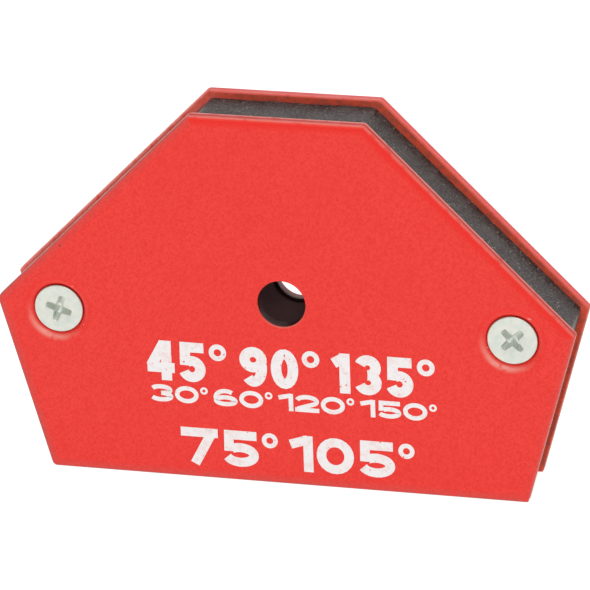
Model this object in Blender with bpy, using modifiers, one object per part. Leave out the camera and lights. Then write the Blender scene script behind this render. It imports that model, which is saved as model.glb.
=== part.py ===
"""Multi-angle welding magnet holder.

Two painted steel pole plates with the same six-sided outline clamp a moulded
spacer frame between them. The frame holds two ferrite blocks and two threaded
sleeves. Countersunk screws go into each sleeve from both sides, and one plain
hole runs through the middle. Nothing moves: the edges of the plates set work
at 45, 75, 90, 105, 120 and 135 degrees.

Units are metres. +Z is up, the holder stands on its long bottom edge, +X runs
along that edge and the front plate faces -Y.
"""

import math

import bmesh
import bpy
from mathutils import Matrix, Vector

# Driving dimensions of the holder
WIDTH = 0.097               # overall, across the two rounded outermost corners
HEIGHT = 0.064              # bottom edge to top edge
THICKNESS = 0.014           # outer face to outer face
PLATE_THICKNESS = 0.002
WAIST_HEIGHT = 0.030        # height of the outermost corners
SIDE_ANGLE = math.radians(75.0)     # lower sides, from the bottom edge
SLANT_ANGLE = math.radians(45.0)    # upper slants, from the bottom edge
PLATE_CORNER_RADIUS = 0.0006

# Clearance kept between solids that touch on the real holder
GAP = 0.0003

# Centre hole
CENTRE_HEIGHT = 0.0322
PLATE_HOLE_RADIUS = 0.0041
FRAME_HOLE_RADIUS = 0.0046

# Spacer frame
FRAME_INSET = 0.00125       # how far its rim lies inside the plates' edges
FRAME_CORNER_RADIUS = 0.0008

# Ferrite blocks, standing left and right of the centre hole
MAGNET_WIDTH = 0.025
MAGNET_HEIGHT = 0.040
MAGNET_NEAR_X = 0.0060      # side nearest the centre hole
MAGNET_BASE_HEIGHT = 0.0033
MAGNET_EDGE = 0.0005        # small chamfer of the pressed block

# M4 countersunk screws, and the sleeves that they go into
SCREW_X = 0.0382
SCREW_HEIGHT = 0.0285
SCREW_SUNK = 0.0004         # head face below the plate's outer face
SCREW_LENGTH = 0.006
HEAD_RADIUS = 0.00415
HEAD_EDGE = 0.00015         # chamfer round the head face
HEAD_LAND = 0.00025         # depth at which the cone starts
SHANK_RADIUS = 0.00195
SHANK_TIP_CHAMFER = 0.0004
COUNTERSINK_RADIUS = 0.0052
SLEEVE_RADIUS = 0.004
SLEEVE_BORE_RADIUS = 0.0023
SLEEVE_MOUTH_RADIUS = 0.0030

# Cross recess of the screw heads
RECESS_SPAN = 0.0046
RECESS_WIDTH = 0.0010
RECESS_DEPTH = 0.0019
RECESS_FLOOR_SPAN = 0.0016
RECESS_FLOOR_WIDTH = 0.0006
RECESS_TURN_LEFT = math.radians(-18.0)
RECESS_TURN_RIGHT = math.radians(43.0)

# Facets of the curved faces
ARC_STEPS = 6
HOLE_SIDES = 64
SCREW_SIDES = 48

MERGE_DISTANCE = 1e-6
HALF = THICKNESS / 2
INNER_FACE = HALF - PLATE_THICKNESS
INNER_THICKNESS = 2 * (INNER_FACE - GAP)

RED_PAINT = ("red_paint", (0.75, 0.055, 0.04), 0.42, 0.0)
BLACK_MOULDING = ("black_moulding", (0.035, 0.032, 0.031), 0.7, 0.0)
FERRITE = ("ferrite", (0.05, 0.05, 0.055), 0.55, 0.1)
ZINC = ("zinc_plate", (0.72, 0.74, 0.70), 0.35, 1.0)
TURNED_STEEL = ("turned_steel", (0.45, 0.45, 0.46), 0.4, 1.0)


def clear_scene():
    for old in list(bpy.data.objects):
        bpy.data.objects.remove(old, do_unlink=True)


def new_collection(name):
    collection = bpy.data.collections.new(name)
    bpy.context.scene.collection.children.link(collection)
    return collection


def principled(name, colour, roughness, metallic):
    material = bpy.data.materials.new(name)
    material.use_nodes = True
    shader = material.node_tree.nodes["Principled BSDF"]
    shader.inputs["Base Color"].default_value = (*colour, 1.0)
    shader.inputs["Roughness"].default_value = roughness
    shader.inputs["Metallic"].default_value = metallic
    return material


def crossing(first, second):
    """Point where two lines meet; each is (outward normal, distance from the origin)."""
    (a, p), (b, q) = first, second
    det = a.x * b.y - a.y * b.x
    return Vector(((p * b.y - q * a.y) / det, (a.x * q - b.x * p) / det))


def outline_corners(inset):
    """Sharp corners of the six-sided outline, shrunk by inset on every side."""
    lower = Vector((math.sin(SIDE_ANGLE), -math.cos(SIDE_ANGLE)))
    upper = Vector((math.sin(SLANT_ANGLE), math.cos(SLANT_ANGLE)))
    bisector = (lower + upper).normalized()
    lost_to_rounding = PLATE_CORNER_RADIUS * (bisector.x / bisector.dot(upper) - 1.0)
    waist = Vector((WIDTH / 2 + lost_to_rounding, WAIST_HEIGHT))
    bottom_line = (Vector((0.0, -1.0)), -inset)
    lower_line = (lower, lower.dot(waist) - inset)
    upper_line = (upper, upper.dot(waist) - inset)
    top_line = (Vector((0.0, 1.0)), HEIGHT - inset)
    right = [
        crossing(bottom_line, lower_line),
        crossing(lower_line, upper_line),
        crossing(upper_line, top_line),
    ]
    left = [Vector((-corner.x, corner.y)) for corner in reversed(right)]
    return right + left


def rounded(corners, radius):
    """The same outline, with an arc of the given radius at each corner."""
    points = []
    for index, corner in enumerate(corners):
        back = (corners[index - 1] - corner).normalized()
        ahead = (corners[(index + 1) % len(corners)] - corner).normalized()
        half_angle = back.angle(ahead) / 2
        centre = corner + (back + ahead).normalized() * (radius / math.sin(half_angle))
        start = corner + back * (radius / math.tan(half_angle)) - centre
        sweep = math.pi - 2 * half_angle
        for step in range(ARC_STEPS + 1):
            turn = sweep * step / ARC_STEPS
            arm = Vector((
                start.x * math.cos(turn) - start.y * math.sin(turn),
                start.x * math.sin(turn) + start.y * math.cos(turn),
            ))
            points.append(centre + arm)
    return points


def solid_from_outline(name, outline, thickness, collection):
    """Flat piece of the given outline in X and Z, centred on y = 0."""
    curve = bpy.data.curves.new(name, "CURVE")
    curve.dimensions = "2D"
    curve.fill_mode = "BOTH"
    curve.extrude = thickness / 2
    spline = curve.splines.new("POLY")
    spline.points.add(len(outline) - 1)
    for point, place in zip(spline.points, outline):
        point.co = (place.x, place.y, 0.0, 1.0)
    spline.use_cyclic_u = True
    drawn = bpy.data.objects.new(name + "_curve", curve)
    drawn.rotation_euler = (math.pi / 2, 0.0, 0.0)
    collection.objects.link(drawn)
    bpy.context.view_layer.update()

    depsgraph = bpy.context.evaluated_depsgraph_get()
    mesh = bpy.data.meshes.new_from_object(drawn.evaluated_get(depsgraph))
    work = bmesh.new()
    work.from_mesh(mesh)
    bmesh.ops.remove_doubles(work, verts=work.verts, dist=MERGE_DISTANCE)
    work.to_mesh(mesh)
    work.free()
    solid = bpy.data.objects.new(name, mesh)
    solid.matrix_world = drawn.matrix_world
    collection.objects.link(solid)
    bpy.data.objects.remove(drawn)
    bpy.data.curves.remove(curve)
    return solid


def solid_from_profile(name, profile, sides, collection):
    """Round piece turned about its own Z axis from (radius, height) points."""
    mesh = bpy.data.meshes.new(name)
    work = bmesh.new()
    verts = [work.verts.new((radius, 0.0, height)) for radius, height in profile]
    for first, second in zip(verts, verts[1:]):
        work.edges.new((first, second))
    work.to_mesh(mesh)
    work.free()
    solid = bpy.data.objects.new(name, mesh)
    collection.objects.link(solid)
    screw = solid.modifiers.new("Turn", "SCREW")
    screw.axis = "Z"
    screw.steps = sides
    screw.render_steps = sides
    screw.use_merge_vertices = True
    screw.merge_threshold = MERGE_DISTANCE
    return solid


def solid_block(name, size, chamfer, collection):
    """Rectangular block centred on its origin, with chamfered edges."""
    mesh = bpy.data.meshes.new(name)
    work = bmesh.new()
    bmesh.ops.create_cube(work, size=1.0)
    bmesh.ops.scale(work, vec=size, verts=work.verts)
    work.to_mesh(mesh)
    work.free()
    solid = bpy.data.objects.new(name, mesh)
    collection.objects.link(solid)
    if chamfer > 0.0:
        bevel = solid.modifiers.new("Chamfer", "BEVEL")
        bevel.width = chamfer
        bevel.segments = 1
    return solid


def as_cutter(solid):
    solid.hide_render = True
    solid.display_type = "WIRE"
    return solid


def cut(solid, cutter):
    boolean = solid.modifiers.new("Cut " + cutter.name, "BOOLEAN")
    boolean.operation = "DIFFERENCE"
    boolean.solver = "EXACT"
    boolean.object = cutter


def shade_round(solid, sharp_angle=math.radians(35.0)):
    """Smooth shading for round faces, with the true corners kept sharp."""
    depsgraph = bpy.context.evaluated_depsgraph_get()
    mesh = bpy.data.meshes.new_from_object(solid.evaluated_get(depsgraph))
    solid.modifiers.clear()
    solid.data = mesh
    mesh.shade_smooth()
    mesh.set_sharp_from_angle(angle=sharp_angle)


def finish_with(solid, material):
    solid.data.materials.clear()
    solid.data.materials.append(material)


def bore_cutter(name, radius, place, cutters):
    """Plain round cutter along Y, longer than the holder is thick."""
    reach = THICKNESS
    cutter = solid_from_profile(
        name, [(0.0, reach), (radius, reach), (radius, -reach), (0.0, -reach)], HOLE_SIDES, cutters
    )
    cutter.location = place
    cutter.rotation_euler = (math.pi / 2, 0.0, 0.0)
    return as_cutter(cutter)


def countersink_cutter(name, side, facing, cutters):
    """Right-angled countersink that opens at the plate's outer face."""
    reach = PLATE_THICKNESS
    profile = [
        (0.0, reach),
        (COUNTERSINK_RADIUS + reach, reach),
        (COUNTERSINK_RADIUS - 2 * reach, -2 * reach),
        (0.0, -2 * reach),
    ]
    cutter = solid_from_profile(name, profile, SCREW_SIDES, cutters)
    cutter.location = (side * SCREW_X, facing * HALF, SCREW_HEIGHT)
    cutter.rotation_euler = (-facing * math.pi / 2, 0.0, 0.0)
    return as_cutter(cutter)


def pole_plate(name, facing, material, parts, cutters):
    """Painted steel plate; facing is -1 for the front plate and +1 for the rear one."""
    outline = rounded(outline_corners(0.0), PLATE_CORNER_RADIUS)
    plate = solid_from_outline(name, outline, PLATE_THICKNESS, parts)
    plate.location.y = facing * (HALF - PLATE_THICKNESS / 2)
    centre = (0.0, 0.0, CENTRE_HEIGHT)
    cut(plate, bore_cutter(name + "_hole", PLATE_HOLE_RADIUS, centre, cutters))
    for side, word in ((-1, "left"), (1, "right")):
        cut(plate, countersink_cutter(f"{name}_countersink_{word}", side, facing, cutters))
    bpy.context.view_layer.update()
    shade_round(plate)
    finish_with(plate, material)


def magnet_centre(side):
    x = MAGNET_NEAR_X + MAGNET_WIDTH / 2
    z = MAGNET_BASE_HEIGHT + MAGNET_HEIGHT / 2
    return Vector((side * x, 0.0, z))


def spacer_frame(material, parts, cutters):
    """Moulded frame with pockets for the ferrite blocks and bores for the sleeves."""
    outline = rounded(outline_corners(FRAME_INSET), FRAME_CORNER_RADIUS)
    frame = solid_from_outline("spacer_frame", outline, INNER_THICKNESS, parts)
    centre = (0.0, 0.0, CENTRE_HEIGHT)
    cut(frame, bore_cutter("frame_hole", FRAME_HOLE_RADIUS, centre, cutters))
    pocket_size = (MAGNET_WIDTH + 2 * GAP, 2 * THICKNESS, MAGNET_HEIGHT + 2 * GAP)
    for side, word in ((-1, "left"), (1, "right")):
        pocket = as_cutter(solid_block(f"frame_pocket_{word}", pocket_size, 0.0, cutters))
        pocket.location = magnet_centre(side)
        cut(frame, pocket)
        place = (side * SCREW_X, 0.0, SCREW_HEIGHT)
        cut(frame, bore_cutter(f"frame_bore_{word}", SLEEVE_RADIUS + GAP, place, cutters))
    bpy.context.view_layer.update()
    shade_round(frame)
    finish_with(frame, material)


def ferrite_block(side, word, material, parts):
    """Magnet through its thickness, so each plate becomes one pole."""
    size = (MAGNET_WIDTH, INNER_THICKNESS, MAGNET_HEIGHT)
    block = solid_block(f"ferrite_magnet_{word}", size, MAGNET_EDGE, parts)
    block.location = magnet_centre(side)
    finish_with(block, material)


def threaded_sleeve(side, word, material, parts):
    """Tube between the plates that the front and rear screws go into."""
    end = INNER_THICKNESS / 2
    mouth = SLEEVE_MOUTH_RADIUS - SLEEVE_BORE_RADIUS
    profile = [
        (SLEEVE_BORE_RADIUS, end - mouth),
        (SLEEVE_MOUTH_RADIUS, end),
        (SLEEVE_RADIUS, end),
        (SLEEVE_RADIUS, -end),
        (SLEEVE_MOUTH_RADIUS, -end),
        (SLEEVE_BORE_RADIUS, -end + mouth),
        (SLEEVE_BORE_RADIUS, end - mouth),
    ]
    sleeve = solid_from_profile(f"threaded_sleeve_{word}", profile, SCREW_SIDES, parts)
    sleeve.location = (side * SCREW_X, 0.0, SCREW_HEIGHT)
    sleeve.rotation_euler = (math.pi / 2, 0.0, 0.0)
    bpy.context.view_layer.update()
    shade_round(sleeve)
    finish_with(sleeve, material)


def recess_blade(name, turn, cutters):
    """One tapered blade of the cross recess, standing across the screw's axis."""
    mesh = bpy.data.meshes.new(name)
    work = bmesh.new()
    bmesh.ops.create_cube(work, size=2.0)
    for vert in work.verts:
        at_floor = vert.co.z < 0.0
        span = RECESS_FLOOR_SPAN if at_floor else 2 * RECESS_SPAN - RECESS_FLOOR_SPAN
        width = RECESS_FLOOR_WIDTH if at_floor else 2 * RECESS_WIDTH - RECESS_FLOOR_WIDTH
        vert.co.x *= span / 2
        vert.co.y *= width / 2
        vert.co.z *= RECESS_DEPTH
    bmesh.ops.rotate(work, verts=work.verts, matrix=Matrix.Rotation(turn, 3, "Z"))
    work.to_mesh(mesh)
    work.free()
    blade = bpy.data.objects.new(name, mesh)
    cutters.objects.link(blade)
    return as_cutter(blade)


def countersunk_screw(facing, side, name, turn, material, parts, cutters):
    """Screw whose head face looks along facing, sunk just below the plate's face."""
    cone_end = HEAD_LAND + HEAD_RADIUS - SHANK_RADIUS
    profile = [
        (0.0, 0.0),
        (HEAD_RADIUS - HEAD_EDGE, 0.0),
        (HEAD_RADIUS, -HEAD_EDGE),
        (HEAD_RADIUS, -HEAD_LAND),
        (SHANK_RADIUS, -cone_end),
        (SHANK_RADIUS, SHANK_TIP_CHAMFER - SCREW_LENGTH),
        (SHANK_RADIUS - SHANK_TIP_CHAMFER, -SCREW_LENGTH),
        (0.0, -SCREW_LENGTH),
    ]
    screw = solid_from_profile(name, profile, SCREW_SIDES, parts)
    pieces = [screw]
    for number, quarter in enumerate((0.0, math.pi / 2)):
        blade = recess_blade(f"{name}_blade_{number}", turn + quarter, cutters)
        cut(screw, blade)
        pieces.append(blade)
    for piece in pieces:
        piece.location = (side * SCREW_X, facing * (HALF - SCREW_SUNK), SCREW_HEIGHT)
        piece.rotation_euler = (-facing * math.pi / 2, 0.0, 0.0)
    bpy.context.view_layer.update()
    shade_round(screw)
    finish_with(screw, material)


def build():
    clear_scene()
    parts = new_collection("welding_magnet_holder")
    cutters = new_collection("cutters")
    paint = principled(*RED_PAINT)
    moulding = principled(*BLACK_MOULDING)
    ferrite = principled(*FERRITE)
    zinc = principled(*ZINC)
    steel = principled(*TURNED_STEEL)

    pole_plate("front_plate", -1, paint, parts, cutters)
    pole_plate("rear_plate", 1, paint, parts, cutters)
    spacer_frame(moulding, parts, cutters)
    for side, word, turn in ((-1, "left", RECESS_TURN_LEFT), (1, "right", RECESS_TURN_RIGHT)):
        ferrite_block(side, word, ferrite, parts)
        threaded_sleeve(side, word, steel, parts)
        countersunk_screw(-1, side, f"front_screw_{word}", turn, zinc, parts, cutters)
        countersunk_screw(1, side, f"rear_screw_{word}", -turn, zinc, parts, cutters)


build()
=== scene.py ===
"""Looks of a six-sided magnetic welding holder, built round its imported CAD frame.

Two red enamelled pole plates hold a black moulded filler between them, with
ferrite blocks and threaded sleeves inside it and countersunk screws at both
ends. The frame gives the place and size of every node. Each class below makes
one of the holder's pieces as a finer mesh and gives it its finish.

Units are metres. +Z is up and the front plate faces -Y.
"""

import logging
import math
from dataclasses import dataclass, field
from enum import Enum
from functools import cache
from typing import Iterable, Sequence

import bmesh
import bpy
from mathutils import Matrix, Quaternion, Vector, geometry, noise


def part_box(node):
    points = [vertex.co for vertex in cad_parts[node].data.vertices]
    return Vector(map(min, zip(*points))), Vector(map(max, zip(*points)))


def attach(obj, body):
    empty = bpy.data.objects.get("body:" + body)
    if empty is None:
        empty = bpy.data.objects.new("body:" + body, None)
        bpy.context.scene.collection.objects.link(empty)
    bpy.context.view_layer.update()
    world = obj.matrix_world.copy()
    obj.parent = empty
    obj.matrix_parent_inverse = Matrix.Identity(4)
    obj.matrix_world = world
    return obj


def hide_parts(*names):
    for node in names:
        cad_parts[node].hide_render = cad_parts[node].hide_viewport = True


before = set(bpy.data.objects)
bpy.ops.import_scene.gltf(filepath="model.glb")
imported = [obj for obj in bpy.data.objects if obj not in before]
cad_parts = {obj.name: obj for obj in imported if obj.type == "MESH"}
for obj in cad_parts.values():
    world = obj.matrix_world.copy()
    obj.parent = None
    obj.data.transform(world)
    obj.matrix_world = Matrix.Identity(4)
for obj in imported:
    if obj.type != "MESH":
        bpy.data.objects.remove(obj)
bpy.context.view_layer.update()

BODY = "root"
MM = 0.001
HOLE_HEIGHT = 32.2 * MM
SIDES = 6

# The Mix node's colour sockets share their names with its number ones, so they go by number.
MIX_COLOURS = (6, 7)
MIX_RESULT = 2

Colour = tuple[float, float, float]
Socket = bpy.types.NodeSocket
Verts = list[bmesh.types.BMVert]

log = logging.getLogger("holder")


class Facing(Enum):
    """Which way a plate or a screw head looks along Y."""

    FRONT = -1
    REAR = 1


class Side(Enum):
    """Which half of the holder a piece sits in."""

    LEFT = -1
    RIGHT = 1


# ---------------------------------------------------------------- mesh making


@dataclass(frozen=True)
class Station:
    """One step of an edge's cross-section, from the outer face inwards.

    Attributes:
        offset: distance into the material from the nominal edge.
        depth: distance below the outer face.
        outer_arris: how much this step belongs to the arris at the outer face, 0 to 1.
        inner_arris: the same for the arris at the inner face.
        bare: how thin the paint lies here, 0 to 1.
        rolled: how much this step belongs to the rolled band of the face, 0 to 1.
        inside: how much this step belongs to the inner face, 0 to 1.
        hollow: how much this step belongs to the hollow middle of the wall, 0 to 1.
    """

    offset: float
    depth: float
    outer_arris: float = 0.0
    inner_arris: float = 0.0
    bare: float = 0.0
    rolled: float = 0.0
    inside: float = 0.0
    hollow: float = 0.0


def add_to_scene(name: str, data: bpy.types.ID) -> bpy.types.Object:
    """Makes an object of a mesh, a light or a camera, and links it to the scene.

    Args:
        name: the object's name.
        data: the mesh, light or camera.

    Returns:
        The new object, at the origin.
    """
    thing = bpy.data.objects.new(name, data)
    bpy.context.scene.collection.objects.link(thing)
    return thing


def close_mesh(work: bmesh.types.BMesh, name: str) -> bpy.types.Mesh:
    """Makes a mesh of finished work, with its faces pointing out, and frees the work.

    Args:
        work: the closed surfaces.
        name: the mesh's name.

    Returns:
        The mesh.
    """
    bmesh.ops.recalc_face_normals(work, faces=work.faces)
    mesh = bpy.data.meshes.new(name)
    work.to_mesh(mesh)
    work.free()
    return mesh


class MeshDraft:
    """A closed mesh under construction, made of rings and the faces between them."""

    def __init__(self, masks: Sequence[str] = ()) -> None:
        """Starts an empty mesh with one float layer on the vertices for each mask."""
        self.work = bmesh.new()
        self.layers = {name: self.work.verts.layers.float.new(name) for name in masks}

    def ring(self, places: Iterable[Vector], **masks: float | Sequence[float]) -> Verts:
        """Adds a loop of vertices.

        Args:
            places: the points of the loop, in order.
            **masks: each named mask, as one value for the whole loop or one per point.

        Returns:
            The new vertices, in the same order.
        """
        verts = [self.work.verts.new(place) for place in places]
        for name, value in masks.items():
            values = [value] * len(verts) if isinstance(value, (int, float)) else value
            for vert, own in zip(verts, values):
                vert[self.layers[name]] = own
        return verts

    def skin(self, first: Verts, second: Verts) -> None:
        """Joins two rings with a band of quads.

        Args:
            first: one ring.
            second: the next one, with as many vertices.
        """
        count = len(first)
        for index in range(count):
            after = (index + 1) % count
            self.work.faces.new((first[index], first[after], second[after], second[index]))

    def loft(self, rings: Sequence[Verts]) -> None:
        """Joins each ring to the next one."""
        for first, second in zip(rings, rings[1:]):
            self.skin(first, second)

    def fan(self, ring: Verts, tip: Vector) -> None:
        """Closes a ring with triangles that meet at one point.

        Args:
            ring: the ring.
            tip: the point.
        """
        centre = self.work.verts.new(tip)
        for index, vert in enumerate(ring):
            self.work.faces.new((vert, ring[(index + 1) % len(ring)], centre))

    def fill(self, *rings: Verts) -> None:
        """Fills the flat area inside the first ring and outside the other ones.

        Args:
            *rings: the outer ring, then the ring of each hole.
        """
        edges = []
        for ring in rings:
            for index, vert in enumerate(ring):
                pair = (vert, ring[(index + 1) % len(ring)])
                edges.append(self.work.edges.get(pair) or self.work.edges.new(pair))
        bmesh.ops.triangle_fill(self.work, use_beauty=True, use_dissolve=False, edges=edges)

    def finish(self, name: str, sharp_angle: float | None = None) -> bpy.types.Object:
        """Turns the draft into an object in the scene.

        Args:
            name: the object's name.
            sharp_angle: edges that turn more than this stay sharp; None smooths all of
                them and weights the normals by face area.

        Returns:
            The new object, at the origin.
        """
        mesh = close_mesh(self.work, name)
        mesh.shade_smooth()
        piece = add_to_scene(name, mesh)
        if sharp_angle is None:
            weighted = piece.modifiers.new("Flat faces", "WEIGHTED_NORMAL")
            weighted.mode = "FACE_AREA"
            weighted.weight = 100
            weighted.keep_sharp = True
        else:
            mesh.set_sharp_from_angle(angle=sharp_angle)
        return piece


def circle(radius: float, count: int) -> list[Vector]:
    """Points of a circle about the origin, anticlockwise.

    Args:
        radius: the circle's radius.
        count: how many points.

    Returns:
        The points as 2D vectors.
    """
    turns = (2 * math.pi * step / count for step in range(count))
    return [Vector((radius * math.cos(turn), radius * math.sin(turn))) for turn in turns]


def rounded_polygon(corners: Sequence[Vector], radii: Sequence[float], steps: int) -> list[list[Vector]]:
    """Rounds each corner of a polygon, whether it points out or in.

    Args:
        corners: 2D corners in order.
        radii: the rounding at each corner.
        steps: how many chords each arc has.

    Returns:
        For each corner, the points of its arc.
    """
    arcs = []
    for index, corner in enumerate(corners):
        back = (corners[index - 1] - corner).normalized()
        ahead = (corners[(index + 1) % len(corners)] - corner).normalized()
        half_angle = back.angle(ahead) / 2
        middle = (back + ahead).normalized()
        centre = corner + middle * (radii[index] / math.sin(half_angle))
        start = corner + back * (radii[index] / math.tan(half_angle)) - centre
        end = corner + ahead * (radii[index] / math.tan(half_angle)) - centre
        sweep = math.atan2(start.x * end.y - start.y * end.x, start.dot(end))
        arc = []
        for step in range(steps + 1):
            turn = sweep * step / steps
            arc.append(centre + Vector((
                start.x * math.cos(turn) - start.y * math.sin(turn),
                start.x * math.sin(turn) + start.y * math.cos(turn),
            )))
        arcs.append(arc)
    return arcs


@dataclass(frozen=True)
class Outline:
    """The six-sided outline that both plates and the filler share, in X and Z.

    Sides run anticlockwise from the bottom: bottom, lower right, right slant, top,
    left slant, lower left.
    """

    width: float
    height: float
    waist: float = 30.0 * MM
    side_angle: float = math.radians(75.0)
    slant_angle: float = math.radians(45.0)
    corner_radii: tuple[float, ...] = (0.9 * MM, 0.35 * MM, 0.6 * MM, 0.9 * MM, 1.2 * MM, 0.6 * MM)
    least_radius: float = 0.12 * MM
    arc_steps: int = 8

    def sharp_corners(self) -> list[Vector]:
        """Works out the corners before rounding.

        Returns:
            The corners, from the bottom left one.
        """
        lower = Vector((math.sin(self.side_angle), -math.cos(self.side_angle)))
        upper = Vector((math.sin(self.slant_angle), math.cos(self.slant_angle)))
        bisector = (lower + upper).normalized()
        lost_to_rounding = self.corner_radii[2] * (bisector.x / bisector.dot(upper) - 1.0)
        waist_x = self.width / 2 + lost_to_rounding
        bottom_x = waist_x - self.waist / math.tan(self.side_angle)
        top_x = waist_x - (self.height - self.waist) / math.tan(self.slant_angle)
        right = [
            Vector((bottom_x, 0.0)),
            Vector((waist_x, self.waist)),
            Vector((top_x, self.height)),
        ]
        left = [Vector((-corner.x, corner.y)) for corner in reversed(right)]
        return [left[-1]] + right + left[:-1]

    def corners(self, insets: Sequence[tuple[float, float]]) -> list[Vector]:
        """Corners after each side has moved inwards.

        Args:
            insets: for each side, how far its start and its end move in.

        Returns:
            The corners, from the bottom left one.
        """
        sharp = self.sharp_corners()
        lines = []
        for index, (at_start, at_end) in enumerate(insets):
            start, end = sharp[index], sharp[(index + 1) % SIDES]
            inward = Vector((start.y - end.y, end.x - start.x)).normalized()
            lines.append((start + inward * at_start, end + inward * at_end))
        corners = []
        for index in range(SIDES):
            ends = [point.to_3d() for point in (*lines[index - 1], *lines[index])]
            corners.append(geometry.intersect_line_line(*ends)[0].to_2d())
        return corners

    def ring(
        self, inset: float = 0.0, spacing: float = 0.8 * MM, radius: float | None = None,
        insets: Sequence[tuple[float, float]] | None = None,
    ) -> list[Vector]:
        """One closed loop of the outline; loops of equal spacing match point for point.

        Args:
            inset: how far every side moves in.
            spacing: the longest step along a straight side.
            radius: the rounding of every corner, by default what is left of the plate's own.
            insets: the start and end inset of each side, in place of inset.

        Returns:
            The loop's points.
        """
        each = insets or [(inset, inset)] * SIDES
        if radius is None:
            radii = [max(own - inset, self.least_radius) for own in self.corner_radii]
        else:
            radii = [radius] * SIDES
        arcs = rounded_polygon(self.corners(each), radii, self.arc_steps)
        sharp = self.sharp_corners()
        points = []
        for index, arc in enumerate(arcs):
            points += arc
            start, end = arc[-1], arcs[(index + 1) % SIDES][0]
            full = (sharp[(index + 1) % SIDES] - sharp[index]).length
            parts = math.ceil(full / spacing)
            points += [start.lerp(end, part / parts) for part in range(1, parts)]
        return points

    def along(self, values: Sequence[float], spacing: float = 0.8 * MM) -> list[float]:
        """Spreads one value per side over a ring's points, blending at the corners.

        Args:
            values: the value of each side, in the order of the sides.
            spacing: the spacing that the ring was made with.

        Returns:
            A value for each point of the ring.
        """
        sharp = self.sharp_corners()
        spread = []
        for index, value in enumerate(values):
            before = values[index - 1]
            blend = (value - before) / self.arc_steps
            spread += [before + blend * step for step in range(self.arc_steps + 1)]
            full = (sharp[(index + 1) % SIDES] - sharp[index]).length
            spread += [value] * (math.ceil(full / spacing) - 1)
        return spread


@dataclass(frozen=True)
class SheetEdge:
    """Cross-section of a blanked sheet's edge: a soft rolled face, two arrises and a wall.

    Attributes:
        roll_width: how far in from the edge the outer face starts to roll over.
        roll_depth: how far it drops by the arris.
        waist: the depth of the hollow along the middle of the wall.
        steps: how many chords each arris has.
        bare: how thin the paint lies on the wall, 0 to 1.
        face_shares: places of the rings on the rolled face, as shares of its width.
        wall_shares: places of the rings on the wall, as shares of its height.
        arris_ramp_start: the share of the wall's height where the inner arris's wear and painted highlight
            start.
        arris_ramp_rise: how fast they rise from there.
    """

    thickness: float = 2.0 * MM
    roll_width: float = 1.7 * MM
    roll_depth: float = 0.10 * MM
    outer_radius: float = 0.24 * MM
    inner_radius: float = 0.30 * MM
    waist: float = 0.05 * MM
    steps: int = 5
    bare: float = 0.0
    face_shares: tuple[float, ...] = (1.0, 0.75, 0.5, 0.25)
    wall_shares: tuple[float, ...] = (0.15, 0.4, 0.6, 0.85)
    arris_ramp_start: float = 0.6
    arris_ramp_rise: float = 2.0

    def stations(self) -> list[Station]:
        """Steps round the edge.

        Returns:
            The stations, from the flat outer face to the flat inner face.
        """
        found = []
        for share in self.face_shares:
            offset = self.outer_radius + (self.roll_width - self.outer_radius) * share
            found.append(Station(offset, self.roll_depth * (1.0 - share) ** 2, rolled=1.0 - share))
        quarter = math.pi / 2
        for step in range(self.steps + 1):
            turn = quarter * step / self.steps
            found.append(Station(
                self.outer_radius * (1.0 - math.sin(turn)),
                self.roll_depth + self.outer_radius * (1.0 - math.cos(turn)),
                outer_arris=math.sin(math.pi * (step + 0.5) / (self.steps + 1)),
                bare=self.bare * step / self.steps,
                rolled=1.0 - step / self.steps,
            ))
        wall_top = found[-1].depth
        wall_end = self.thickness - self.inner_radius
        for share in self.wall_shares:
            hollow = math.sin(math.pi * share)
            found.append(Station(
                self.waist * hollow,
                wall_top + (wall_end - wall_top) * share,
                inner_arris=max(0.0, share - self.arris_ramp_start) * self.arris_ramp_rise,
                bare=self.bare,
                hollow=hollow,
            ))
        for step in range(self.steps + 1):
            turn = quarter * step / self.steps
            found.append(Station(
                self.inner_radius * (1.0 - math.cos(turn)),
                wall_end + self.inner_radius * math.sin(turn),
                inner_arris=math.cos(turn) ** 0.5 if step < self.steps else 0.0,
                bare=self.bare,
                inside=(step / self.steps) ** 3,
            ))
        return found


# ------------------------------------------------------------------- finishes


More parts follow.
